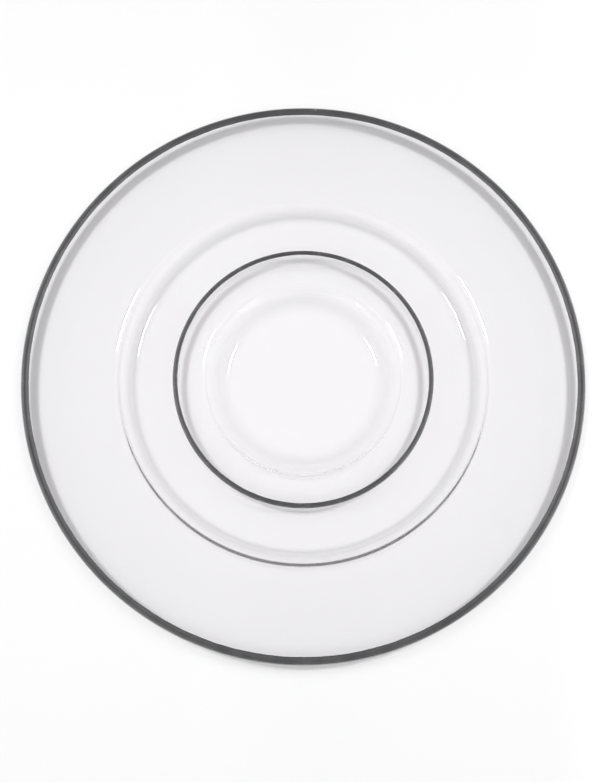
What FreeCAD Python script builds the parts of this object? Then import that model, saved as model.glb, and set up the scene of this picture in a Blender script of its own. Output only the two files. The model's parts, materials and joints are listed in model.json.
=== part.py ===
import FreeCAD
import Part
import Sketcher
import math
import os

# A chip and dip server: a wide glass charger for the chips and a small loose glass bowl for the
# dip, which stands in the middle of the charger's well. Each was bent from a disc of flat sheet
# glass, so its wall is one thickness all over, and each has a band of fired-on silver that wraps
# its rim. Units are millimetres and degrees. Z is up, and the origin is at the middle of the
# charger's underside.

# The driving dimensions, each the alias of a cell on the sheet.
SIZES = {
    # charger
    "charger_diameter": 330.2,  # over the silver band
    "charger_height": 19.0,  # from the underside to the top of the rim
    "charger_glass": 4.0,  # thickness of the sheet
    "charger_floor_radius": 99.0,  # flat floor of the well
    "charger_wall_angle": 57.0,  # of the well's wall, above level
    "charger_bend_radius": 3.0,  # inside the bend from floor to wall
    "charger_shoulder_radius": 3.0,  # under the bend from wall to flange
    "charger_flange_slope": 3.0,  # of the flange, above level
    "charger_band_over": 2.6,  # silver on the flange's top, in from the rounded edge
    "charger_band_under": 0.8,  # silver on the flange's underside, in from the rounded edge
    # bowl, with the same meanings
    "bowl_diameter": 152.4,
    "bowl_height": 17.0,
    "bowl_glass": 3.4,
    "bowl_floor_radius": 43.0,
    "bowl_wall_angle": 51.5,
    "bowl_bend_radius": 9.0,
    "bowl_shoulder_radius": 3.0,
    "bowl_flange_slope": 4.5,
    "bowl_band_over": 0.9,
    "bowl_band_under": 0.3,
    # both
    "silver": 0.2,  # thickness of the silver band
}

START, END, CENTRE = 1, 2, 3  # point numbers in a sketch constraint
ORIGIN_POINT = (-1, START)


def make_sheet(doc):
    """Puts every driving dimension in a cell of its own."""
    sheet = doc.addObject("Spreadsheet::Sheet", "Sizes")
    for row, (alias, value) in enumerate(SIZES.items(), start=1):
        sheet.set(f"A{row}", alias)
        sheet.set(f"B{row}", str(value))
        sheet.setAlias(f"B{row}", alias)
    doc.recompute()
    return sheet


def sizes_of(sheet, piece):
    """The sheet's values for one piece, without its name in front, and the silver's thickness."""
    own = {a[len(piece) + 1 :]: float(sheet.get(a)) for a in SIZES if a.startswith(piece + "_")}
    return dict(own, silver=float(sheet.silver))


def cell(piece, alias):
    return f"Sizes.{piece}_{alias}"


def point(across, up):
    return FreeCAD.Vector(across, up, 0)


def rim_point(sizes):
    """The centre of the rounded rim."""
    inset = sizes["silver"] + sizes["glass"] / 2
    return point(sizes["diameter"] / 2 - inset, sizes["height"] - inset)


def rim_expressions(piece):
    """The same centre, across and up, as the sheet's cells give it."""
    across = f"{cell(piece, 'diameter')} / 2 - Sizes.silver - {cell(piece, 'glass')} / 2"
    up = f"{cell(piece, 'height')} - Sizes.silver - {cell(piece, 'glass')} / 2"
    return across, up


def normal_at(angle):
    """Unit vector square to a line that rises at this angle, on its upper left side."""
    return point(-math.sin(angle), math.cos(angle))


def new_body(doc, label):
    body = doc.addObject("PartDesign::Body", label)
    body.Label = label
    return body


def profile_sketch(body, name):
    """A sketch on the body's own XZ plane: across is X, up is Z."""
    sketch = body.newObject("Sketcher::SketchObject", name)
    plane = next(f for f in body.Origin.OriginFeatures if f.Role == "XZ_Plane")
    sketch.AttachmentSupport = [(plane, "")]
    sketch.MapMode = "FlatFace"
    return sketch


def line(sketch, start, end):
    return sketch.addGeometry(Part.LineSegment(start, end), False)


def arc(sketch, centre, radius, low, high):
    """An arc that runs anticlockwise from angle low to angle high, in radians."""
    circle = Part.Circle(centre, FreeCAD.Vector(0, 0, 1), radius)
    return sketch.addGeometry(Part.ArcOfCircle(circle, low, high), False)


def join(sketch, kind, first, first_end, second, second_end):
    sketch.addConstraint(Sketcher.Constraint(kind, first, first_end, second, second_end))


def tie(sketch, name, constraint, expression):
    """Adds a dimension whose value comes from the sheet."""
    index = sketch.addConstraint(constraint)
    sketch.renameConstraint(index, name)
    sketch.setExpression(f"Constraints.{name}", expression)


def tie_point(sketch, name, geometry, where, at, across, up):
    """Holds a point at a distance across and up from the origin."""
    tie(sketch, name + "_across",
        Sketcher.Constraint("DistanceX", *ORIGIN_POINT, geometry, where, at.x), across)
    tie(sketch, name + "_up",
        Sketcher.Constraint("DistanceY", *ORIGIN_POINT, geometry, where, at.y), up)


def draw_glass(sketch, piece, sizes):
    """The closed outline of a bent sheet: flat floor, wall, sloping flange and rounded rim."""
    glass, bend, shoulder = sizes["glass"], sizes["bend_radius"], sizes["shoulder_radius"]
    wall, slope = math.radians(sizes["wall_angle"]), math.radians(sizes["flange_slope"])
    quarter = math.pi / 2
    wall_up, flange_up = normal_at(wall), normal_at(slope)
    along_wall = point(math.cos(wall), math.sin(wall))

    # The rim's centre is given, and the wall is as long as it takes to meet the flange.
    rim = rim_point(sizes)
    bend_centre = point(sizes["floor_radius"], glass + bend)
    wall_foot = bend_centre - wall_up * (bend + glass)
    reach = rim - flange_up * (shoulder + glass / 2) - wall_foot + wall_up * shoulder
    wall_length = reach.dot(flange_up) / along_wall.dot(flange_up)
    wall_top = wall_foot + along_wall * wall_length
    shoulder_centre = wall_top - wall_up * shoulder
    flange_foot = shoulder_centre + flange_up * shoulder
    rim_under, rim_over = rim - flange_up * (glass / 2), rim + flange_up * (glass / 2)

    floor_under = line(sketch, point(0, 0), point(sizes["floor_radius"], 0))
    bend_out = arc(sketch, bend_centre, bend + glass, -quarter, wall - quarter)
    wall_out = line(sketch, wall_foot, wall_top)
    shoulder_under = arc(sketch, shoulder_centre, shoulder, slope + quarter, wall + quarter)
    flange_under = line(sketch, flange_foot, rim_under)
    rim_round = arc(sketch, rim, glass / 2, slope - quarter, slope + quarter)
    flange_over = line(sketch, rim_over, flange_foot + flange_up * glass)
    shoulder_over = arc(sketch, shoulder_centre, shoulder + glass, slope + quarter, wall + quarter)
    wall_in = line(sketch, wall_top + wall_up * glass, wall_foot + wall_up * glass)
    bend_in = arc(sketch, bend_centre, bend, -quarter, wall - quarter)
    floor_over = line(sketch, point(sizes["floor_radius"], glass), point(0, glass))
    middle = line(sketch, point(0, glass), point(0, 0))

    join(sketch, "Coincident", floor_under, START, *ORIGIN_POINT)
    join(sketch, "Coincident", middle, END, *ORIGIN_POINT)
    join(sketch, "Coincident", middle, START, floor_over, END)
    for smooth in (
        (floor_under, END, bend_out, START),
        (bend_out, END, wall_out, START),
        (wall_out, END, shoulder_under, END),
        (shoulder_under, START, flange_under, START),
        (flange_under, END, rim_round, START),
        (rim_round, END, flange_over, START),
        (flange_over, END, shoulder_over, START),
        (shoulder_over, END, wall_in, START),
        (wall_in, END, bend_in, END),
        (bend_in, START, floor_over, START),
    ):
        join(sketch, "Tangent", *smooth)
    join(sketch, "Coincident", bend_in, CENTRE, bend_out, CENTRE)
    join(sketch, "Coincident", shoulder_over, CENTRE, shoulder_under, CENTRE)
    sketch.addConstraint(Sketcher.Constraint("Horizontal", floor_under))
    sketch.addConstraint(Sketcher.Constraint("Horizontal", floor_over))
    sketch.addConstraint(Sketcher.Constraint("Vertical", middle))
    sketch.addConstraint(Sketcher.Constraint("Parallel", wall_in, wall_out))
    sketch.addConstraint(Sketcher.Constraint("Parallel", flange_over, flange_under))

    tie(sketch, "floor_radius", Sketcher.Constraint("DistanceX", floor_under, START, floor_under, END,
        sizes["floor_radius"]), cell(piece, "floor_radius"))
    tie(sketch, "glass", Sketcher.Constraint("DistanceY", middle, END, middle, START, glass),
        cell(piece, "glass"))
    tie(sketch, "bend", Sketcher.Constraint("Radius", bend_in, bend), cell(piece, "bend_radius"))
    tie(sketch, "shoulder", Sketcher.Constraint("Radius", shoulder_under, shoulder),
        cell(piece, "shoulder_radius"))
    tie(sketch, "wall_angle", Sketcher.Constraint("Angle", wall_out, wall),
        cell(piece, "wall_angle") + " * 1 deg")
    tie(sketch, "flange_slope", Sketcher.Constraint("Angle", flange_under, slope),
        cell(piece, "flange_slope") + " * 1 deg")
    tie_point(sketch, "rim", rim_round, CENTRE, rim, *rim_expressions(piece))


def draw_band(sketch, piece, sizes):
    """The closed outline of the silver: it starts on the flange, wraps the rim and ends beneath."""
    glass, silver, slope = sizes["glass"], sizes["silver"], math.radians(sizes["flange_slope"])
    quarter = math.pi / 2
    flange_up = normal_at(slope)
    along_flange = point(math.cos(slope), math.sin(slope))
    rim = rim_point(sizes)
    rim_to_edge = glass / 2 + silver

    inner_over, outer_over = rim + flange_up * (glass / 2), rim + flange_up * rim_to_edge
    inner_under, outer_under = rim - flange_up * (glass / 2), rim - flange_up * rim_to_edge
    over, under = along_flange * sizes["band_over"], along_flange * sizes["band_under"]

    glass_over = line(sketch, inner_over - over, inner_over)
    glass_round = arc(sketch, rim, glass / 2, slope - quarter, slope + quarter)
    glass_under = line(sketch, inner_under, inner_under - under)
    under_edge = line(sketch, inner_under - under, outer_under - under)
    face_under = line(sketch, outer_under - under, outer_under)
    face_round = arc(sketch, rim, rim_to_edge, slope - quarter, slope + quarter)
    face_over = line(sketch, outer_over, outer_over - over)
    over_edge = line(sketch, outer_over - over, inner_over - over)

    for smooth in (
        (glass_over, END, glass_round, END),
        (glass_round, START, glass_under, START),
        (face_under, END, face_round, START),
        (face_round, END, face_over, START),
    ):
        join(sketch, "Tangent", *smooth)
    for corner in (
        (glass_under, END, under_edge, START),
        (under_edge, END, face_under, START),
        (face_over, END, over_edge, START),
        (over_edge, END, glass_over, START),
        (glass_round, CENTRE, face_round, CENTRE),
    ):
        join(sketch, "Coincident", *corner)
    for edge, face in ((under_edge, face_under), (over_edge, face_over)):
        sketch.addConstraint(Sketcher.Constraint("Perpendicular", edge, face))
    for first, second in ((glass_over, face_over), (glass_under, face_under), (face_under, face_over)):
        sketch.addConstraint(Sketcher.Constraint("Parallel", first, second))

    tie(sketch, "glass", Sketcher.Constraint("Radius", glass_round, glass / 2),
        cell(piece, "glass") + " / 2")
    tie(sketch, "silver", Sketcher.Constraint("Radius", face_round, rim_to_edge),
        cell(piece, "glass") + " / 2 + Sizes.silver")
    tie(sketch, "flange_slope", Sketcher.Constraint("Angle", face_under, slope),
        cell(piece, "flange_slope") + " * 1 deg")
    tie_point(sketch, "rim", face_round, CENTRE, rim, *rim_expressions(piece))
    tie(sketch, "over", Sketcher.Constraint("Distance", face_over, START, face_over, END, over.Length),
        cell(piece, "band_over"))
    tie(sketch, "under", Sketcher.Constraint("Distance", face_under, START, face_under, END, under.Length),
        cell(piece, "band_under"))


def turn(doc, label, draw, piece, sheet):
    """A body whose drawn profile is turned once round the vertical axis."""
    body = new_body(doc, label)
    sketch = profile_sketch(body, label + "_profile")
    draw(sketch, piece, sizes_of(sheet, piece))
    doc.recompute()
    revolution = body.newObject("PartDesign::Revolution", label + "_turned")
    revolution.Profile = sketch
    revolution.ReferenceAxis = (sketch, ["V_Axis"])
    revolution.Angle = 360
    body.Tip = revolution
    return body


def make_charger(doc, sheet):
    return [
        turn(doc, "charger_glass", draw_glass, "charger", sheet),
        turn(doc, "charger_silver_band", draw_band, "charger", sheet),
    ]


def make_bowl(doc, sheet):
    """The bowl stands on the floor of the charger's well."""
    parts = [
        turn(doc, "dip_bowl_glass", draw_glass, "bowl", sheet),
        turn(doc, "dip_bowl_silver_band", draw_band, "bowl", sheet),
    ]
    for part in parts:
        part.setExpression("Placement.Base.z", cell("charger", "glass"))
    return parts


def check(doc, parts):
    """Stops before anything is written if an object failed or a solid isn't sound."""
    for obj in doc.Objects:
        if "Invalid" in obj.State or "Error" in obj.State:
            raise RuntimeError(f"{obj.Label} failed: {obj.State}")
        if obj.TypeId == "Sketcher::SketchObject" and not obj.FullyConstrained:
            raise RuntimeError(f"{obj.Label} isn't fully constrained")
    for part in parts:
        shape = part.Shape
        if shape.isNull() or not shape.isValid() or len(shape.Solids) != 1:
            raise RuntimeError(f"{part.Label} isn't one sound solid")
        box = shape.optimalBoundingBox()
        print(f"{part.Label}: {shape.Volume:.1f} mm3, Z {box.ZMin:.3f} to {box.ZMax:.3f}, "
              f"X {box.XMin:.3f} to {box.XMax:.3f}")


def export(parts):
    os.makedirs("parts", exist_ok=True)
    for part in parts:
        part.Shape.exportStep(f"parts/{part.Label}.step")


def main():
    doc = FreeCAD.newDocument("ChipAndDipServer")
    sheet = make_sheet(doc)
    parts = make_charger(doc, sheet) + make_bowl(doc, sheet)
    doc.recompute()
    check(doc, parts)
    export(parts)


main()
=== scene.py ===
import json
import math

import bpy
import bmesh
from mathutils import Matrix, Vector

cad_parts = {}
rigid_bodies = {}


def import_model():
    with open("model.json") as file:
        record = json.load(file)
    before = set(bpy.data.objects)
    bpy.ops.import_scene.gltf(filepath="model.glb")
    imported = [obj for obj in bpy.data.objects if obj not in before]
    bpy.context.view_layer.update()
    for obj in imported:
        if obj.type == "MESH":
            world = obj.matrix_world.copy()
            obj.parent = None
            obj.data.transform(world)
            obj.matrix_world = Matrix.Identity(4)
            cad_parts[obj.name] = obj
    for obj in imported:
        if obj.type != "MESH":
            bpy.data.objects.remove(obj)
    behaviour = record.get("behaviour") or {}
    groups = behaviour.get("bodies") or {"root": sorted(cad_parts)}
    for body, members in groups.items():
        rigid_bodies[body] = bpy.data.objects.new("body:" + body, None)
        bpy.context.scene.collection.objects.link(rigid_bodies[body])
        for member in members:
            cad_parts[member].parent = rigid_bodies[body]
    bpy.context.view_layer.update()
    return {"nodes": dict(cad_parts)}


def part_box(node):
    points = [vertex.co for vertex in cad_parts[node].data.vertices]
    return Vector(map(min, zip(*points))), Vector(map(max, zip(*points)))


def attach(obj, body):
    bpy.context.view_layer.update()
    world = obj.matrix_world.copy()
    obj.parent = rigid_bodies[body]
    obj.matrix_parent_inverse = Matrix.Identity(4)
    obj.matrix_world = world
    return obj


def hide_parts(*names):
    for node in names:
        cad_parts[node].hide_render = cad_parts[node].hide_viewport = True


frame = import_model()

scene = bpy.context.scene
print("frame loaded:", sorted(frame["nodes"]))


# the camera looks down from a little in front
cameraSetup = {
    "distance": 0.84,
    "elevation": 81.17,  # degrees above the table
    "lens": 64.84,  # millimetres
    "aim": (-0.0004, -0.0048, 0.0),  # where it looks, on the table
    "nearest": 0.01,
}


def makeCamera(setup):
    cameraData = bpy.data.cameras.new("studioCamera")
    cameraData.lens = setup["lens"]
    cameraData.clip_start = setup["nearest"]
    camera = bpy.data.objects.new("studioCamera", cameraData)
    scene.collection.objects.link(camera)
    tilt = math.radians(setup["elevation"])
    back = Vector((0, -math.cos(tilt), math.sin(tilt)))
    camera.location = Vector(setup["aim"]) + back * setup["distance"]
    camera.rotation_euler = (-back).to_track_quat("-Z", "Y").to_euler()
    scene.camera = camera


makeCamera(cameraSetup)
print("camera placed")


# the dishes and the silver on their rims
chargerShape = {
    "sheet": 0.0040,  # thickness of the glass
    "floorRadius": 0.0990,
    "wallAngle": 57.0,  # degrees above level
    "bendRadius": 0.0030,  # inside the bend from floor to wall
    "shoulderRadius": 0.0030,  # under the bend from wall to flange
    "flangeSlope": 3.0,
    "standsClear": 0.0,  # air under its floor
    "silver": 0.0002,  # thickness of the band
    "silverBite": 0.00005,  # how far the fired silver reaches into the glass
    "silverOver": 0.0026,  # width of the silver on top, in from the rounded edge
    "silverUnder": 0.0008,
    "silverWander": 0.00030,  # how far its hand-painted edge strays
    "wanderSeed": 3.0,
}

bowlShape = {
    "sheet": 0.0034,
    "floorRadius": 0.0430,
    "wallAngle": 51.5,
    "bendRadius": 0.0090,
    "shoulderRadius": 0.0030,
    "flangeSlope": 4.5,
    "standsClear": 0.00006,  # bent glass never lies dead flat on glass
    "silver": 0.0002,
    "silverBite": 0.00005,
    "silverOver": 0.0009,
    "silverUnder": 0.0003,
    "silverWander": 0.00022,
    "wanderSeed": 11.0,
}

turning = {
    "stepsAround": 720,
    "stepsPerBend": 12,
    "support": 0.0005,  # how close to a bend the extra points stand that keep the flats flat
    "wanderScale": 85.0,  # strays in a metre of the silver's edge
    "wanderDetail": 3.0,
    "weld": 0.000004,  # points nearer than this are one
    "sliver": 0.000001,  # faces thinner than this are dropped
}


def meet(pointA, angleA, pointB, angleB):
    # where two lines cross, each given by a point and a direction
    dirA = Vector((math.cos(angleA), math.sin(angleA)))
    dirB = Vector((math.cos(angleB), math.sin(angleB)))
    apart = pointB - pointA
    share = (apart.x * dirB.y - apart.y * dirB.x) / (dirA.x * dirB.y - dirA.y * dirB.x)
    return pointA + dirA * share


def rimOf(node, shape):
    # centre of the rounded rim, measured from the dish's own underside, and the height of that underside
    low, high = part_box(node)
    half = shape["sheet"] / 2
    return Vector((high.x - half, high.z - low.z - half)), low.z


def glassOutline(node, shape):
    # corners of the bent sheet and the radius of each, from the axis underneath to the axis on top
    rim, standsAt = rimOf(node, shape)
    wall, slope = math.radians(shape["wallAngle"]), math.radians(shape["flangeSlope"])
    sheet, half = shape["sheet"], shape["sheet"] / 2
    along = Vector((math.cos(slope), math.sin(slope)))
    upward = Vector((-math.sin(slope), math.cos(slope)))
    corners = [(Vector((0, shape["standsClear"])), 0)]
    backward = []
    for side, height, bend, shoulder in (
        (-1, shape["standsClear"], shape["bendRadius"] + sheet, shape["shoulderRadius"]),
        (1, sheet, shape["bendRadius"], shape["shoulderRadius"] + sheet),
    ):
        foot = Vector((shape["floorRadius"] + bend * math.tan(wall / 2), height))
        edge = rim + upward * half * side
        shoulderCorner = meet(foot, wall, edge, slope)
        found = [(foot, bend), (shoulderCorner, shoulder), (edge + along * half, half)]
        if side < 0:
            corners += found
        else:
            backward = found[::-1]
    corners += backward + [(Vector((0, sheet)), 0)]
    return [(Vector((c.x, c.y + standsAt)), r) for c, r in corners]


def silverOutline(node, shape):
    # corners of the silver skin that wraps the rim, ending where it began
    rim, standsAt = rimOf(node, shape)
    slope = math.radians(shape["flangeSlope"])
    along = Vector((math.cos(slope), math.sin(slope)))
    upward = Vector((-math.sin(slope), math.cos(slope)))
    inner = shape["sheet"] / 2 - shape["silverBite"]
    outer = shape["sheet"] / 2 + shape["silver"]
    over, under = along * shape["silverOver"], along * shape["silverUnder"]
    start = rim - under - upward * outer
    corners = [
        (start, 0),
        (rim + (along - upward) * outer, outer),
        (rim + (along + upward) * outer, outer),
        (rim - over + upward * outer, 0),
        (rim - over + upward * inner, 0),
        (rim + (along + upward) * inner, inner),
        (rim + (along - upward) * inner, inner),
        (rim - under - upward * inner, 0),
        (start, 0),
    ]
    return [(Vector((c.x, c.y + standsAt)), r) for c, r in corners]


def withSupports(corners, support):
    # adds a point on each side of a bend, just past where its arc ends
    done = []
    for i, (corner, radius) in enumerate(corners):
        if radius == 0:
            done.append((corner, 0))
            continue
        toLast = corners[i - 1][0] - corner
        toNext = corners[i + 1][0] - corner
        turn = math.pi - toLast.angle(toNext)
        reach = radius * math.tan(turn / 2) + support
        if toLast.length > 2 * reach:
            done.append((corner + toLast.normalized() * reach, 0))
        done.append((corner, radius))
        if toNext.length > 2 * reach:
            done.append((corner + toNext.normalized() * reach, 0))
    return done


# the turning tree rounds the bends of an outline and sweeps it once round the upright axis
def addSocket(tree, name, kind, inOut="INPUT"):
    return tree.interface.new_socket(name=name, in_out=inOut, socket_type=kind)


def makeTurningTree():
    tree = bpy.data.node_groups.new("turnOutline", "GeometryNodeTree")
    tree.is_modifier = True
    addSocket(tree, "Outline", "NodeSocketGeometry")
    addSocket(tree, "Steps Around", "NodeSocketInt")
    addSocket(tree, "Steps Per Bend", "NodeSocketInt")
    addSocket(tree, "Wander", "NodeSocketFloat")
    addSocket(tree, "Wander Inside", "NodeSocketFloat")
    addSocket(tree, "Wander Seed", "NodeSocketFloat")
    addSocket(tree, "Flange Slope", "NodeSocketFloat")
    addSocket(tree, "Finish", "NodeSocketMaterial")
    addSocket(tree, "Solid", "NodeSocketGeometry", "OUTPUT")
    nodes, links = tree.nodes, tree.links

    def add(kind, **settings):
        node = nodes.new(kind)
        for key, value in settings.items():
            setattr(node, key, value)
        return node

    def feed(node, socket, source):
        if isinstance(source, (int, float, tuple)):
            node.inputs[socket].default_value = source
        else:
            links.new(source, node.inputs[socket])

    def calc(operation, first, second=None, third=None):
        node = add("ShaderNodeMath", operation=operation)
        for i, value in enumerate((first, second, third)):
            if value is not None:
                feed(node, i, value)
        return node.outputs[0]

    given = add("NodeGroupInput").outputs

    # the outline with its bends rounded, as a chain of points
    rounded = add("GeometryNodeFilletCurve", mode="POLY")
    feed(rounded, "Curve", given["Outline"])
    feed(rounded, "Count", given["Steps Per Bend"])
    feed(rounded, "Radius", add("GeometryNodeInputRadius").outputs[0])
    chain = add("GeometryNodeCurveToMesh")
    feed(chain, "Curve", rounded.outputs[0])
    count = add("GeometryNodeAttributeDomainSize", component="MESH")
    feed(count, 0, chain.outputs[0])

    # a grid with one row for each point of the chain and one column for each step round
    columns = calc("ADD", given["Steps Around"], 1)
    grid = add("GeometryNodeMeshGrid")
    feed(grid, "Size X", 1.0)
    feed(grid, "Size Y", 1.0)
    feed(grid, "Vertices X", count.outputs["Point Count"])
    feed(grid, "Vertices Y", columns)
    index = add("GeometryNodeInputIndex").outputs[0]
    row = calc("FLOOR", calc("DIVIDE", calc("ADD", index, 0.5), columns))
    column = calc("SUBTRACT", index, calc("MULTIPLY", row, columns))
    angle = calc("MULTIPLY", calc("DIVIDE", column, given["Steps Around"]), 2 * math.pi)
    sample = add("GeometryNodeSampleIndex", data_type="FLOAT_VECTOR", domain="POINT")
    feed(sample, "Geometry", chain.outputs[0])
    feed(sample, "Value", add("GeometryNodeInputPosition").outputs[0])
    feed(sample, "Index", row)
    place = add("ShaderNodeSeparateXYZ")
    feed(place, 0, sample.outputs[0])

    # a brushed edge strays along the flange, by noise that comes back to its start after one turn
    ringPoint = add("ShaderNodeCombineXYZ")
    feed(ringPoint, "X", calc("MULTIPLY", calc("COSINE", angle), place.outputs["X"]))
    feed(ringPoint, "Y", calc("MULTIPLY", calc("SINE", angle), place.outputs["X"]))
    feed(ringPoint, "Z", given["Wander Seed"])
    noise = add("ShaderNodeTexNoise", noise_dimensions="3D")
    feed(noise, "Vector", ringPoint.outputs[0])
    feed(noise, "Scale", turning["wanderScale"])
    feed(noise, "Detail", turning["wanderDetail"])
    isEdge = calc("LESS_THAN", place.outputs["X"], given["Wander Inside"])
    stray = calc("MULTIPLY", calc("SUBTRACT", noise.outputs[0], 0.5), given["Wander"])
    stray = calc("MULTIPLY", calc("MULTIPLY", stray, 2.0), isEdge)
    across = calc("MULTIPLY_ADD", stray, calc("COSINE", given["Flange Slope"]), place.outputs["X"])
    upward = calc("MULTIPLY_ADD", stray, calc("SINE", given["Flange Slope"]), place.outputs["Z"])
    turned = add("ShaderNodeCombineXYZ")
    feed(turned, "X", calc("MULTIPLY", calc("COSINE", angle), across))
    feed(turned, "Y", calc("MULTIPLY", calc("SINE", angle), across))
    feed(turned, "Z", upward)
    swept = add("GeometryNodeSetPosition")
    feed(swept, "Geometry", grid.outputs[0])
    feed(swept, "Position", turned.outputs[0])

    # the seam and the poles are closed, then the finish goes on
    welded = add("GeometryNodeMergeByDistance")
    feed(welded, "Geometry", swept.outputs[0])
    feed(welded, "Distance", turning["weld"])
    smooth = add("GeometryNodeSetShadeSmooth")
    feed(smooth, "Geometry", welded.outputs[0])
    real = add("GeometryNodeRealizeInstances")
    feed(real, "Geometry", smooth.outputs[0])
    finish = add("GeometryNodeSetMaterial")
    feed(finish, "Geometry", real.outputs[0])
    feed(finish, "Material", given["Finish"])
    links.new(finish.outputs[0], add("NodeGroupOutput").inputs[0])
    return tree


turningTree = makeTurningTree()
print("turning tree built")


def outlineCurve(name, corners):
    # a straight-sided curve whose point radius is the radius of the bend there
    curve = bpy.data.curves.new(name, "CURVE")
    curve.dimensions = "3D"
    spline = curve.splines.new("POLY")
    spline.points.add(len(corners) - 1)
    for point, (corner, radius) in zip(spline.points, corners):
        point.co = (corner.x, 0, corner.y, 1)
        point.radius = radius
    outline = bpy.data.objects.new(name, curve)
    scene.collection.objects.link(outline)
    return outline


def turnPiece(name, corners, finish, slope=0.0, wander=0.0, wanderInside=0.0, seed=0.0):
    corners = withSupports(corners, turning["support"])
    outline = outlineCurve(name + "Outline", corners)
    modifier = outline.modifiers.new("turn", "NODES")
    modifier.node_group = turningTree
    values = {
        "Steps Around": turning["stepsAround"],
        "Steps Per Bend": turning["stepsPerBend"],
        "Wander": wander,
        "Wander Inside": wanderInside,
        "Wander Seed": seed,
        "Flange Slope": math.radians(slope),
        "Finish": finish,
    }
    for item in turningTree.interface.items_tree:
        if item.name in values:
            modifier[item.identifier] = values[item.name]
    depsgraph = bpy.context.evaluated_depsgraph_get()
    mesh = bpy.data.meshes.new_from_object(outline.evaluated_get(depsgraph))
    bpy.data.objects.remove(outline)
    faces = bmesh.new()
    faces.from_mesh(mesh)
    bmesh.ops.dissolve_degenerate(faces, dist=turning["sliver"], edges=faces.edges)
    bmesh.ops.recalc_face_normals(faces, faces=faces.faces)
    openEdges = sum(1 for e in faces.edges if len(e.link_faces) != 2)
    faces.to_mesh(mesh)
    faces.free()
    mesh.name = name
    piece = bpy.data.objects.new(name, mesh)
    scene.collection.objects.link(piece)
    print(name, "turned:", len(mesh.polygons), "faces,", openEdges, "open edges")
    return piece


# the finishes
def newMaterial(name):
    material = bpy.data.materials.new(name)
    material.use_nodes = True
    tree = material.node_tree
    tree.nodes.clear()
    shader = tree.nodes.new("ShaderNodeBsdfPrincipled")
    output = tree.nodes.new("ShaderNodeOutputMaterial")
    tree.links.new(shader.outputs[0], output.inputs["Surface"])
    return material, tree, shader


def shaderNode(tree, kind, inputs=None, **settings):
    node = tree.nodes.new(kind)
    for key, value in settings.items():
        setattr(node, key, value)
    for key, value in (inputs or {}).items():
        if isinstance(value, bpy.types.NodeSocket):
            tree.links.new(value, node.inputs[key])
        else:
            node.inputs[key].default_value = value
    return node


def glassFinish(name, look, node, shape):
    # clear sheet glass that has sagged in a kiln: fire-polished, with a faint lazy wave
    material, tree, shader = newMaterial(name)
    shader.inputs["Base Color"].default_value = (*look["tint"], 1)
    shader.inputs["Transmission Weight"].default_value = 1.0
    shader.inputs["Roughness"].default_value = 0.0
    shader.inputs["IOR"].default_value = look["ior"]
    place = shaderNode(tree, "ShaderNodeTexCoord").outputs["Object"]
    wave = shaderNode(tree, "ShaderNodeTexNoise",
                      {"Vector": place, "Scale": 1 / look["waveLength"], "Detail": look["waveDetail"]})
    bump = shaderNode(tree, "ShaderNodeBump",
                      {"Strength": 1.0, "Distance": look["waveHeight"], "Height": wave.outputs[0]})
    tree.links.new(bump.outputs[0], shader.inputs["Normal"])

    # lamp light goes through, less what the glass turns away where it is struck aslant
    facing = shaderNode(tree, "ShaderNodeLayerWeight", {"Blend": 0.5}).outputs["Facing"]
    aslant = shaderNode(tree, "ShaderNodeMath", {0: facing, 1: look["aslant"]}, operation="POWER")
    passed = shaderNode(tree, "ShaderNodeMapRange",
                        {"Value": aslant.outputs[0], "To Min": look["passes"], "To Max": 0.0})

    # painted light and shade in the lamp light that the glass lets through: the bend at the floor spreads
    # that light and the shoulder gathers it, drawn as a curve by distance from the axis
    flat = shaderNode(tree, "ShaderNodeVectorMath", {0: place, 1: (1, 1, 0)}, operation="MULTIPLY")
    reach = shaderNode(tree, "ShaderNodeVectorMath", {0: flat.outputs[0]}, operation="LENGTH")
    share = shaderNode(tree, "ShaderNodeMath", {0: reach.outputs["Value"], 1: rimOf(node, shape)[0].x},
                       operation="DIVIDE")
    bends = shaderNode(tree, "ShaderNodeFloatCurve", {"Value": share.outputs[0]})
    drawLightThrough(bends.mapping, node, shape, look)
    paintedFocus = shaderNode(tree, "ShaderNodeMath", {0: passed.outputs[0], 1: bends.outputs[0]},
                         operation="MULTIPLY")
    scaled = shaderNode(tree, "ShaderNodeMath", {0: paintedFocus.outputs[0], 1: 2.0}, operation="MULTIPLY")
    lampLight = shaderNode(tree, "ShaderNodeBsdfTransparent", {"Color": scaled.outputs[0]})
    isShadow = shaderNode(tree, "ShaderNodeLightPath").outputs["Is Shadow Ray"]
    both = shaderNode(tree, "ShaderNodeMixShader",
                      {0: isShadow, 1: shader.outputs[0], 2: lampLight.outputs[0]})
    tree.links.new(both.outputs[0], tree.nodes["Material Output"].inputs["Surface"])
    return material


# where the painted light and shade under the bends begin and end
lightThrough = {
    "before": 0.0005,  # how far in front of the bend the loss starts
    "after": 0.0010,  # how far past the shoulder the gain ends
    "dimAt": 0.4,  # of the way through the bend
    "dimShare": 0.8,  # of the whole loss, at that place
    "wallShare": 0.4,  # of the loss, at the top of the wall
    "brightAt": 0.6,  # of the way through the shoulder
}


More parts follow.
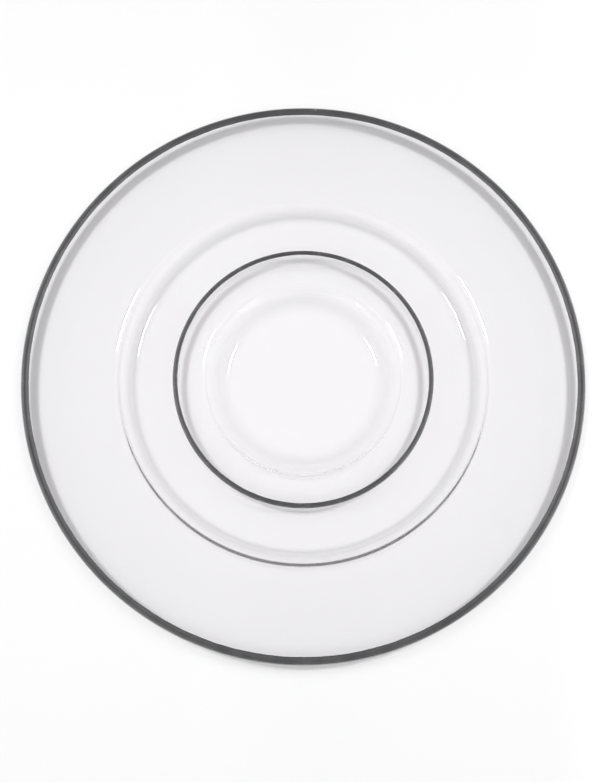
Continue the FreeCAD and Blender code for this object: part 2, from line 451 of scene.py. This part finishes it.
def drawLightThrough(mapping, node, shape, look):
    # painted light and shade: half of the share of lamp light that lands, drawn along the way from the axis
    # to the rim
    rimRadius = rimOf(node, shape)[0].x
    wall = math.radians(shape["wallAngle"])
    corners = [corner.x for corner, _ in glassOutline(node, shape)]
    foot, shoulder = corners[1], corners[2]
    bendStart, bendEnd = shape["floorRadius"], foot + (foot - shape["floorRadius"]) * math.cos(wall)
    reach = (shape["shoulderRadius"] + shape["sheet"]) * math.tan(wall / 2)
    shoulderStart, shoulderEnd = shoulder - reach * math.cos(wall), shoulder + reach
    spread, gather = look["spread"], look["gather"]
    dimAt, brightAt = lightThrough["dimAt"], lightThrough["brightAt"]
    stops = [
        (bendStart - lightThrough["before"], 1),
        (bendStart * (1 - dimAt) + bendEnd * dimAt, 1 - spread * lightThrough["dimShare"]),
        (bendEnd, 1 - spread),
        (shoulderStart, 1 - spread * lightThrough["wallShare"]),
        (shoulderStart * (1 - brightAt) + shoulderEnd * brightAt, 1 + gather),
        (shoulderEnd + lightThrough["after"], 1),
    ]
    curve = mapping.curves[0]
    curve.points[0].location = (0, 0.5)
    curve.points[-1].location = (1, 0.5)
    for across, passes in stops:
        curve.points.new(across / rimRadius, math.sqrt(passes) / 2)
    for point in curve.points:
        point.handle_type = "VECTOR"
    mapping.update()


def silverFinish(name, look):
    # silver fired on by brush: cloudy, streaked along the rim, with worn specks down to the glass
    material, tree, shader = newMaterial(name)
    shader.inputs["Metallic"].default_value = 1.0
    place = shaderNode(tree, "ShaderNodeTexCoord").outputs["Object"]
    cloud = shaderNode(tree, "ShaderNodeTexNoise",
                       {"Vector": place, "Scale": 1 / look["cloudLength"], "Detail": look["cloudDetail"]})

    # brush marks run round the rim, so their noise is fine across it and long along it
    flat = shaderNode(tree, "ShaderNodeVectorMath", {0: place, 1: (1, 1, 0)}, operation="MULTIPLY")
    reach = shaderNode(tree, "ShaderNodeVectorMath", {0: flat.outputs[0]}, operation="LENGTH")
    around = shaderNode(tree, "ShaderNodeVectorMath", {0: flat.outputs[0]}, operation="NORMALIZE")
    turned = shaderNode(tree, "ShaderNodeVectorMath", {0: around.outputs[0], "Scale": look["brushAround"]},
                        operation="SCALE")
    across = shaderNode(tree, "ShaderNodeMath", {0: reach.outputs["Value"], 1: look["brushAcross"]},
                        operation="MULTIPLY")
    lift = shaderNode(tree, "ShaderNodeCombineXYZ", {"Z": across.outputs[0]})
    brushPlace = shaderNode(tree, "ShaderNodeVectorMath", {0: turned.outputs[0], 1: lift.outputs[0]},
                            operation="ADD")
    brush = shaderNode(tree, "ShaderNodeTexNoise",
                       {"Vector": brushPlace.outputs[0], "Scale": 1.0, "Detail": look["brushDetail"]})
    mixed = shaderNode(tree, "ShaderNodeMath",
                       {0: brush.outputs[0], 1: look["brushed"], 2: cloud.outputs[0]},
                       operation="MULTIPLY_ADD")
    level = shaderNode(tree, "ShaderNodeMapRange",
                       {"Value": mixed.outputs[0], "From Min": look["darkBelow"] * (1 + look["brushed"]),
                        "From Max": look["lightAbove"] * (1 + look["brushed"])})
    tone = shaderNode(tree, "ShaderNodeMix",
                      {"Factor": level.outputs[0], "A": (*look["dark"], 1), "B": (*look["light"], 1)},
                      data_type="RGBA")

    # specks: a spot in the middle of a few cells
    cells = shaderNode(tree, "ShaderNodeTexVoronoi", {"Vector": place, "Scale": 1 / look["speckApart"]})
    near = shaderNode(tree, "ShaderNodeMath", {0: cells.outputs["Distance"], 1: look["speckSize"]},
                      operation="LESS_THAN")
    pick = shaderNode(tree, "ShaderNodeSeparateColor", {0: cells.outputs["Color"]})
    chosen = shaderNode(tree, "ShaderNodeMath", {0: pick.outputs[0], 1: look["speckShare"]},
                        operation="LESS_THAN")
    speck = shaderNode(tree, "ShaderNodeMath", {0: near.outputs[0], 1: chosen.outputs[0]},
                       operation="MULTIPLY")
    worn = shaderNode(tree, "ShaderNodeMix",
                      {"Factor": speck.outputs[0], "A": tone.outputs["Result"], "B": (*look["speck"], 1)},
                      data_type="RGBA")
    tree.links.new(worn.outputs["Result"], shader.inputs["Base Color"])
    rough = shaderNode(tree, "ShaderNodeMapRange",
                       {"Value": level.outputs[0], "To Min": look["smooth"], "To Max": look["rough"]})
    tree.links.new(rough.outputs[0], shader.inputs["Roughness"])
    marks = shaderNode(tree, "ShaderNodeBump",
                       {"Strength": 1.0, "Distance": look["brushDepth"], "Height": brush.outputs[0]})
    tree.links.new(marks.outputs[0], shader.inputs["Normal"])
    return material


chargerGlassLook = {
    "tint": (0.984, 0.974, 0.990),
    "ior": 1.5,
    "waveLength": 0.05,
    "waveHeight": 0.00001,
    "waveDetail": 1.0,
    "aslant": 5.0,  # how suddenly slanting light is turned away
    "passes": 0.93,  # share of a lamp's light that one face lets by
    "spread": 0.22,  # share of lamp light that the bend at the floor turns away, as painted shade
    "gather": 0.08,  # and extra share that lands under the shoulder, as painted light
}
bowlGlassLook = dict(chargerGlassLook, tint=(0.995, 0.995, 0.995), waveLength=0.03, spread=0.10)
silverLook = {
    "dark": (0.27, 0.27, 0.28),
    "light": (0.38, 0.38, 0.385),
    "darkBelow": 0.35,  # level of the noise
    "lightAbove": 0.65,
    "cloudLength": 0.012,
    "cloudDetail": 4.0,
    "smooth": 0.16,
    "rough": 0.30,
    "brushAround": 14.0,  # marks in a radian
    "brushAcross": 2600.0,  # and in a metre across the band
    "brushed": 0.8,  # strength of the marks against the clouds
    "brushDepth": 0.000004,
    "brushDetail": 3.0,
    "speck": (0.9, 0.9, 0.9),
    "speckApart": 0.007,
    "speckSize": 0.07,  # of the distance between specks
    "speckShare": 0.10,  # of the places that hold one
}

chargerGlass = glassFinish("chargerGlass", chargerGlassLook, "charger_glass", chargerShape)
bowlGlass = glassFinish("bowlGlass", bowlGlassLook, "dip_bowl_glass", bowlShape)
rimSilver = silverFinish("rimSilver", silverLook)
print("finishes made")


# the pieces
def addDish(label, nodeStem, shape, finish, body, glassSlot):
    glassNode = nodeStem + "_glass"
    bandNode = nodeStem + "_silver_band"
    rim, _ = rimOf(glassNode, shape)
    glass = turnPiece(label + "Glass", glassOutline(glassNode, shape), finish)
    band = turnPiece(label + "SilverBand", silverOutline(glassNode, shape), rimSilver,
                     slope=shape["flangeSlope"], wander=shape["silverWander"],
                     wanderInside=rim.x - shape["silverUnder"] / 2, seed=shape["wanderSeed"])
    for piece, node, slotName in ((glass, glassNode, glassSlot), (band, bandNode, "rim_silver")):
        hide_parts(node)
        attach(piece, body)


addDish("charger", "charger", chargerShape, chargerGlass, "charger", "charger_glass")
addDish("dipBowl", "dip_bowl", bowlShape, bowlGlass, "dip_bowl", "bowl_glass")
print("dishes turned and placed")


# the studio
studio = {
    "floorColour": (0.80, 0.80, 0.80),
    "floorRoughness": 0.9,
    "floorSize": 12,
    "floorDrop": 0.0002,  # keeps the table's face out of the glass's underside
    "sides": 0.56,  # brightness of the room to the left and right
    "ends": 0.30,  # to the front and back
    "overhead": 0.27,  # and straight above
    "overheadFrom": 0.88,  # sine of the elevation where the dark part overhead begins
    "overheadUntil": 0.96,
    "bounces": 48,  # enough to follow light trapped in the sheet until it leaks out
}

sideLamps = {
    "distance": 1.50,
    "width": 0.16,
    "power": 9.3,
    "flagHeight": 0.66,  # of the card that keeps a lamp's light off the far half of the table
    "flagGap": 0.045,  # between the cards and the line straight up from the bowl
    "flagDepth": 0.50,  # from the line to the card's front and back
    "Left": {"elevation": 76.0, "bearing": 165.0},
    "Right": {"elevation": 74.0, "bearing": 15.0},
}

fillLamp = {"height": 1.50, "width": 1.20, "power": 11.6}

bowlLamp = {
    "height": 1.20,
    "inner": 0.066,  # radius of its full light on the table
    "outer": 0.080,  # and where it has faded out
    "power": 12.0,
    "radius": 0.01,  # of the lamp itself
}


def makeFloor(setup):
    bpy.ops.mesh.primitive_plane_add(size=setup["floorSize"])
    floor = bpy.context.active_object
    floor.name = "studioFloor"
    floor.location.z = -setup["floorDrop"]
    material, tree, shader = newMaterial("studioFloor")
    shader.inputs["Base Color"].default_value = (*setup["floorColour"], 1)
    shader.inputs["Roughness"].default_value = setup["floorRoughness"]
    shader.inputs["Specular IOR Level"].default_value = 0.0
    floor.data.materials.append(material)


def makeWorld(setup):
    # a room with pale walls to the left and right, darker ones to the front and back, and a dark ceiling
    world = bpy.data.worlds.new("studioWorld")
    world.use_nodes = True
    tree = world.node_tree
    direction = shaderNode(tree, "ShaderNodeTexCoord").outputs["Generated"]
    level = shaderNode(tree, "ShaderNodeVectorMath", {0: direction, 1: (1, 1, 0)}, operation="MULTIPLY")
    bearing = shaderNode(tree, "ShaderNodeVectorMath", {0: level.outputs[0]}, operation="NORMALIZE")
    split = shaderNode(tree, "ShaderNodeSeparateXYZ", {0: bearing.outputs[0]})
    sideways = shaderNode(tree, "ShaderNodeMath", {0: split.outputs["X"], 1: split.outputs["X"]},
                          operation="MULTIPLY")
    walls = shaderNode(tree, "ShaderNodeMapRange",
                       {"Value": sideways.outputs[0], "To Min": setup["ends"], "To Max": setup["sides"]})
    height = shaderNode(tree, "ShaderNodeSeparateXYZ", {0: direction})
    strength = shaderNode(tree, "ShaderNodeMapRange",
                          {"Value": height.outputs["Z"], "From Min": setup["overheadFrom"],
                           "From Max": setup["overheadUntil"], "To Min": walls.outputs[0],
                           "To Max": setup["overhead"]}, interpolation_type="SMOOTHSTEP")
    tree.links.new(strength.outputs[0], tree.nodes["Background"].inputs["Strength"])
    tree.nodes["Background"].inputs["Color"].default_value = (1, 1, 1, 1)
    world.cycles.sampling_method = "NONE"  # its light is found by looking out through the glass
    scene.world = world


def addLamp(name, kind, power):
    lamp = bpy.data.lights.new(name, kind)
    lamp.energy = power
    holder = bpy.data.objects.new(name, lamp)
    holder.visible_camera = False
    holder.visible_transmission = False  # its light comes through glass as the glass finish says
    scene.collection.objects.link(holder)
    return holder


def makeSideLamp(side, setup, receivers):
    holder = addLamp("lamp" + side, "AREA", setup["power"])
    holder.data.shape = "DISK"
    holder.data.size = setup["width"]
    rise, turn = math.radians(setup[side]["elevation"]), math.radians(setup[side]["bearing"])
    towards = Vector((math.cos(turn) * math.cos(rise), math.sin(turn) * math.cos(rise), math.sin(rise)))
    holder.location = towards * setup["distance"]
    holder.rotation_euler = towards.to_track_quat("Z", "Y").to_euler()
    holder.light_linking.receiver_collection = receivers

    # a card in the beam shades the half of the table away from the lamp
    edge = holder.location * (setup["flagHeight"] / holder.location.z)
    end = math.copysign(setup["flagGap"], edge.x)
    card = bpy.data.meshes.new("studio" + side + "Card")
    card.from_pydata([(x, y, edge.z) for x, y in ((edge.x, -setup["flagDepth"]), (end, -setup["flagDepth"]),
                                                  (end, setup["flagDepth"]), (edge.x, setup["flagDepth"]))],
                     [], [(0, 1, 2, 3)])
    flag = bpy.data.objects.new("studio" + side + "Card", card)
    scene.collection.objects.link(flag)
    flag.visible_camera = flag.visible_diffuse = flag.visible_glossy = flag.visible_transmission = False


def makeFillLamp(setup, blockers):
    holder = addLamp("lampFill", "AREA", setup["power"])
    holder.light_linking.blocker_collection = blockers
    holder.data.size = setup["width"]
    holder.location.z = setup["height"]
    holder.visible_glossy = False


def makeBowlLamp(setup):
    # a small lamp straight above, its beam no wider than the bowl
    holder = addLamp("lampBowl", "SPOT", setup["power"])
    holder.data.spot_size = 2 * math.atan(setup["outer"] / setup["height"])
    holder.data.spot_blend = 1 - setup["inner"] / setup["outer"]
    holder.data.shadow_soft_size = setup["radius"]
    holder.location.z = setup["height"]
    holder.visible_glossy = False


def allBut(name, ending):
    # a list for a lamp that has everything in it except the objects whose names end so
    listed = bpy.data.collections.new(name)
    for piece in scene.objects:
        if piece.name.endswith(ending):
            listed.objects.link(piece)
    for entry in listed.collection_objects:
        entry.light_linking.link_state = "EXCLUDE"
    return listed


makeFloor(studio)
makeWorld(studio)
allButSilver = allBut("allButSilver", "SilverBand")  # the silver shows only the room
for side in ("Left", "Right"):
    makeSideLamp(side, sideLamps, allButSilver)
makeFillLamp(fillLamp, allBut("allButCards", "Card"))  # the cards shade only the side lamps
makeBowlLamp(bowlLamp)
scene.view_settings.view_transform = "Standard"
scene.cycles.blur_glossy = 0  # keeps the glass clear for light that comes back up off the table
scene.cycles.max_bounces = studio["bounces"]
scene.cycles.transmission_bounces = studio["bounces"]
scene.cycles.glossy_bounces = studio["bounces"]
scene.cycles.transparent_max_bounces = studio["bounces"]
print("studio lit")
